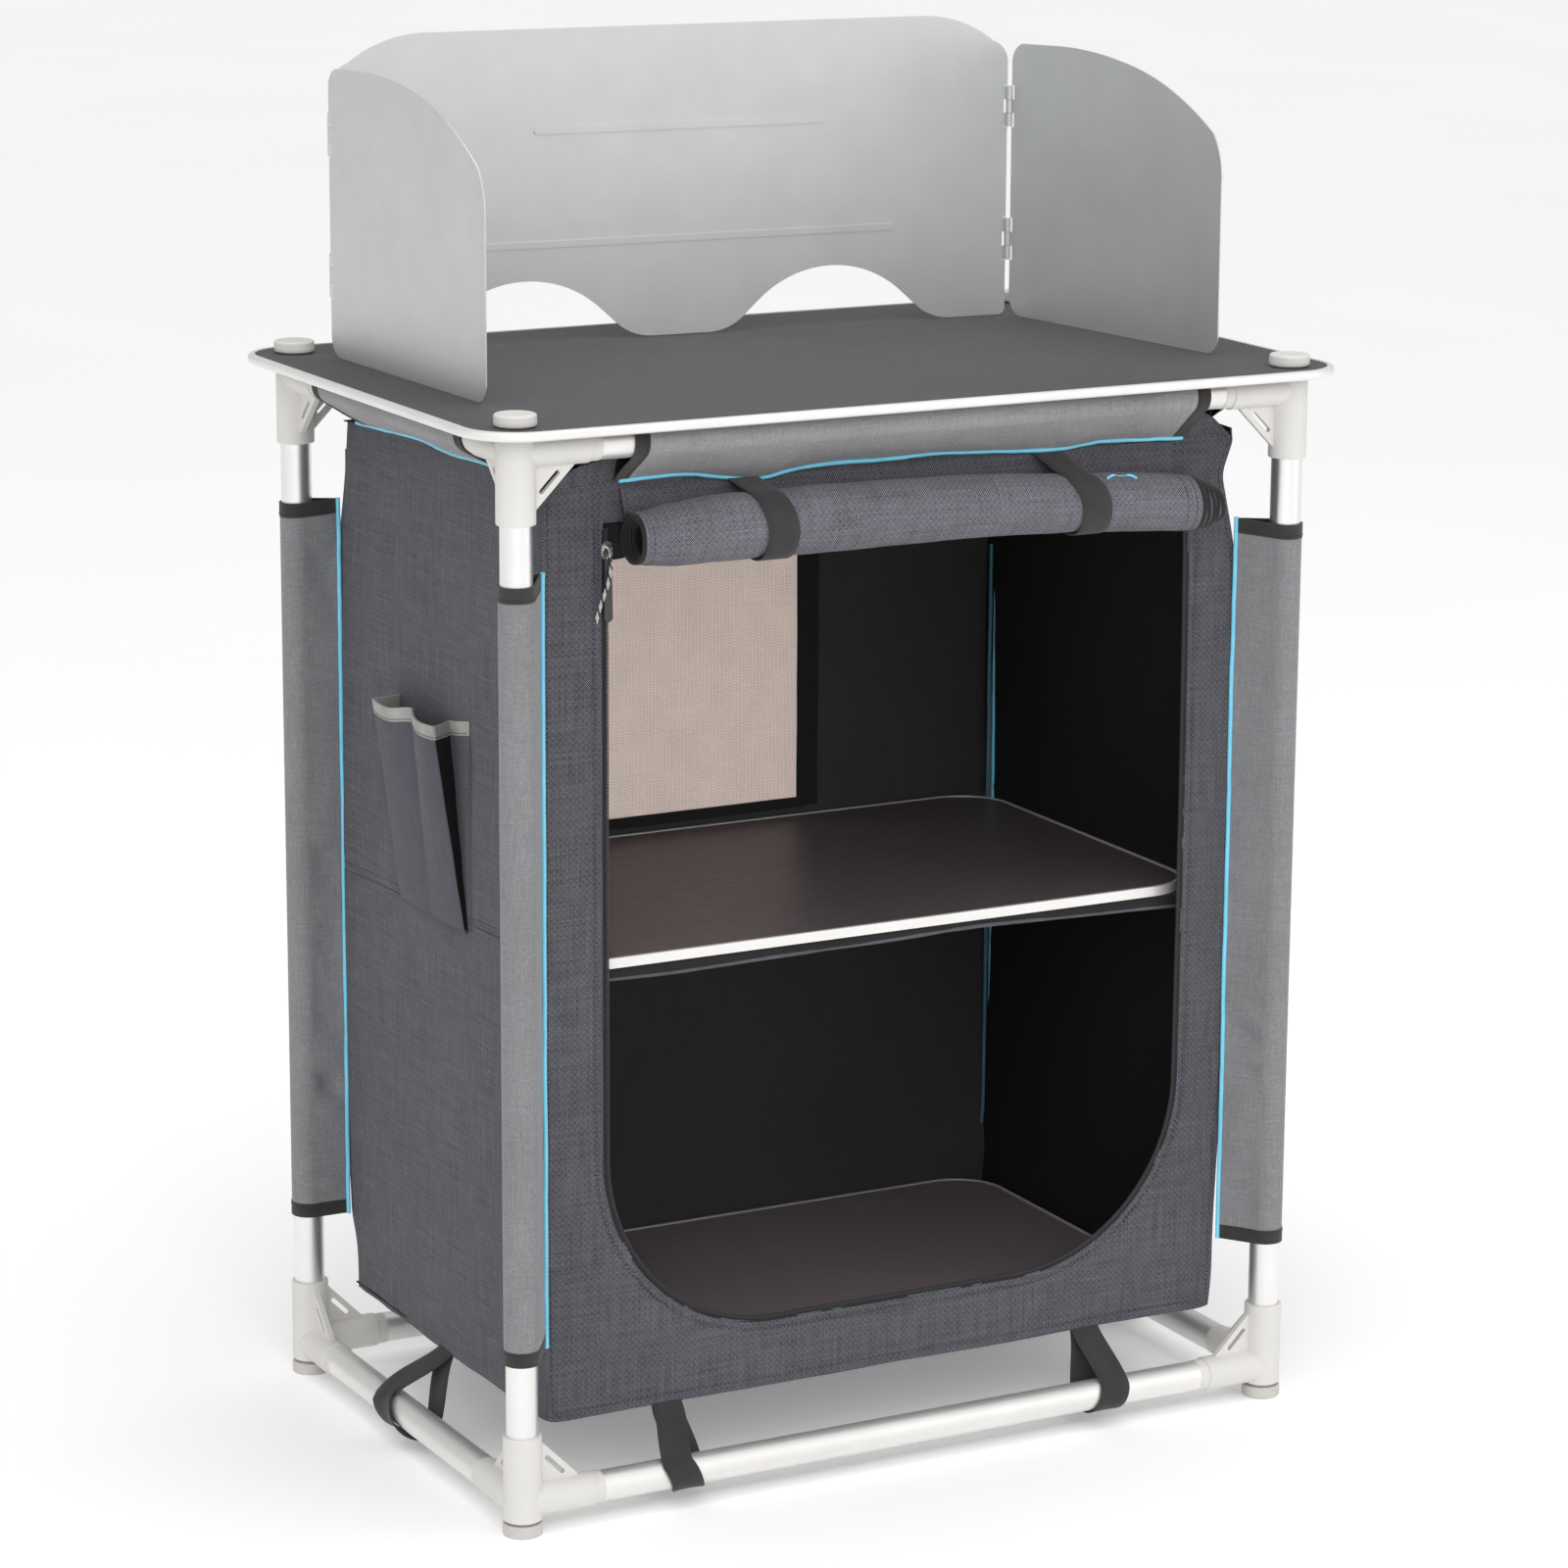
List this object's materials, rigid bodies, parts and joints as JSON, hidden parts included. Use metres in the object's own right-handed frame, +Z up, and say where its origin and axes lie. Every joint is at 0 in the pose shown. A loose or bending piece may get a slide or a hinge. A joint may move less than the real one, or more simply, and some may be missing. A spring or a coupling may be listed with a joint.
{
  "type": "camp kitchen table",
  "caption": "Knock-down camp kitchen table with a tube frame, hung fabric cabinet with shelves and a rolled door, laminated top and folding windshield.",
  "frame": {"origin": "on the floor, midway between the four leg axes", "axes": "+X to the user's right, +Y to the back, +Z up"},
  "size_m": [0.766, 0.492, 1.1254],
  "materials": {
    "frame_tube": "satin anodised",
    "connector_plastic": "fine moulded texture, warm light grey",
    "foot_plastic": "moulded, slightly worn",
    "insert_plastic": "plain",
    "tabletop_laminate": "fine satin laminate",
    "edge_profile": "bright anodised extrusion",
    "shelf_laminate": "semi-gloss laminate",
    "shield_sheet": "fine satin sheet",
    "hinge_steel": "drawn wire",
    "cabinet_cloth": "woven polyester, dark blue-grey",
    "lining_cloth": "coated black inside",
    "sleeve_cloth": "woven polyester, mid grey",
    "mesh": "fine insect mesh",
    "webbing": "black ribbed webbing",
    "pocket_binding": "light grey tape",
    "piping": "sky-blue cord",
    "zip_coil": "nylon coil",
    "zip_metal": "nickel plated"
  },
  "bodies": {
    "root": {"bottom_connector_front_left": "connector_plastic", "bottom_connector_front_right": "connector_plastic", "bottom_connector_rear_left": "connector_plastic", "bottom_connector_rear_right": "connector_plastic", "bottom_rail_front": "frame_tube", "bottom_rail_left": "frame_tube", "bottom_rail_rear": "frame_tube", "bottom_rail_right": "frame_tube", "cabinet_floor": "lining_cloth", "cabinet_front_panel": "cabinet_cloth", "cabinet_left_wall": "cabinet_cloth", "cabinet_rear_wall": "cabinet_cloth", "cabinet_right_wall": "cabinet_cloth", "cabinet_roof": "lining_cloth", "door_roll": "cabinet_cloth", "door_straps": "webbing", "foot_screw_inserts": "insert_plastic", "leg_front_left": "frame_tube", "leg_front_right": "frame_tube", "leg_rear_left": "frame_tube", "leg_rear_right": "frame_tube", "leg_sleeves": "sleeve_cloth", "rail_end_plugs": "connector_plastic", "rear_mesh_window": "mesh", "seam_piping": "piping", "shelf_sling": "lining_cloth", "tie_down_straps": "webbing", "top_connector_front_left": "connector_plastic", "top_connector_front_right": "connector_plastic", "top_connector_rear_left": "connector_plastic", "top_connector_rear_right": "connector_plastic", "top_rail_front": "frame_tube", "top_rail_left": "frame_tube", "top_rail_rear": "frame_tube", "top_rail_right": "frame_tube", "top_rail_sleeves": "sleeve_cloth", "utensil_pocket": "cabinet_cloth", "zip_tape": "zip_coil"},
    "tabletop": {"tabletop_board": "tabletop_laminate", "tabletop_edge": "edge_profile"},
    "windshield": {"windshield_rear_panel": "shield_sheet", "windshield_hinge_pins_left": "hinge_steel", "windshield_hinge_pins_right": "hinge_steel"},
    "windshield_left": {"windshield_left_panel": "shield_sheet"},
    "windshield_right": {"windshield_right_panel": "shield_sheet"},
    "mid_shelf": {"mid_shelf_board": "shelf_laminate", "mid_shelf_edge": "edge_profile"},
    "bottom_shelf": {"bottom_shelf_board": "shelf_laminate", "bottom_shelf_edge": "edge_profile"},
    "zip_slider": {"zip_slider": "zip_metal"},
    "zip_pull": {"zip_pull": "zip_metal"},
    "cap_front_left": {"tabletop_cap_front_left": "connector_plastic"},
    "foot_front_left": {"levelling_foot_front_left": "foot_plastic"},
    "cap_front_right": {"tabletop_cap_front_right": "connector_plastic"},
    "foot_front_right": {"levelling_foot_front_right": "foot_plastic"},
    "cap_rear_right": {"tabletop_cap_rear_right": "connector_plastic"},
    "foot_rear_right": {"levelling_foot_rear_right": "foot_plastic"},
    "cap_rear_left": {"tabletop_cap_rear_left": "connector_plastic"},
    "foot_rear_left": {"levelling_foot_rear_left": "foot_plastic"}
  },
  "joints": [
    {"name": "tabletop_lift", "type": "slide", "parent": "root", "child": "tabletop", "axis": [0, 0, 1], "range_m": [0, 0.06]},
    {"name": "cap_front_left_pull", "type": "slide", "parent": "tabletop", "child": "cap_front_left", "axis": [0, 0, 1], "range_m": [0, 0.04]},
    {"name": "cap_front_right_pull", "type": "slide", "parent": "tabletop", "child": "cap_front_right", "axis": [0, 0, 1], "range_m": [0, 0.04]},
    {"name": "cap_rear_right_pull", "type": "slide", "parent": "tabletop", "child": "cap_rear_right", "axis": [0, 0, 1], "range_m": [0, 0.04]},
    {"name": "cap_rear_left_pull", "type": "slide", "parent": "tabletop", "child": "cap_rear_left", "axis": [0, 0, 1], "range_m": [0, 0.04]},
    {"name": "windshield_lift", "type": "slide", "parent": "tabletop", "child": "windshield", "axis": [0, 0, 1], "range_m": [0, 0.15]},
    {"name": "windshield_left_fold", "type": "hinge", "parent": "windshield", "child": "windshield_left", "pos_m": [-0.322, 0.1735, 0.87], "axis": [0, 0, 1], "range_deg": [-93, 85.5]},
    {"name": "windshield_right_fold", "type": "hinge", "parent": "windshield", "child": "windshield_right", "pos_m": [0.28722, 0.14264, 0.87], "axis": [0, 0, 1], "range_deg": [-98, 80]},
    {"name": "foot_front_left_level", "type": "slide", "parent": "root", "child": "foot_front_left", "axis": [0, 0, -1], "range_m": [0, 0.012]},
    {"name": "foot_front_right_level", "type": "slide", "parent": "root", "child": "foot_front_right", "axis": [0, 0, -1], "range_m": [0, 0.012]},
    {"name": "foot_rear_right_level", "type": "slide", "parent": "root", "child": "foot_rear_right", "axis": [0, 0, -1], "range_m": [0, 0.012]},
    {"name": "foot_rear_left_level", "type": "slide", "parent": "root", "child": "foot_rear_left", "axis": [0, 0, -1], "range_m": [0, 0.012]},
    {"name": "mid_shelf_lift", "type": "slide", "parent": "root", "child": "mid_shelf", "axis": [0, 0, 1], "range_m": [0, 0.25]},
    {"name": "bottom_shelf_lift", "type": "slide", "parent": "root", "child": "bottom_shelf", "axis": [0, 0, 1], "range_m": [0, 0.25]},
    {"name": "zip_slide", "type": "slide", "parent": "root", "child": "zip_slider", "axis": [0, 0, -1], "range_m": [0, 0.46]},
    {"name": "zip_pull_swing", "type": "hinge", "parent": "zip_slider", "child": "zip_pull", "pos_m": [-0.2542, -0.186, 0.764], "axis": [1, 0, 0], "range_deg": [-150, 2]}
  ]
}
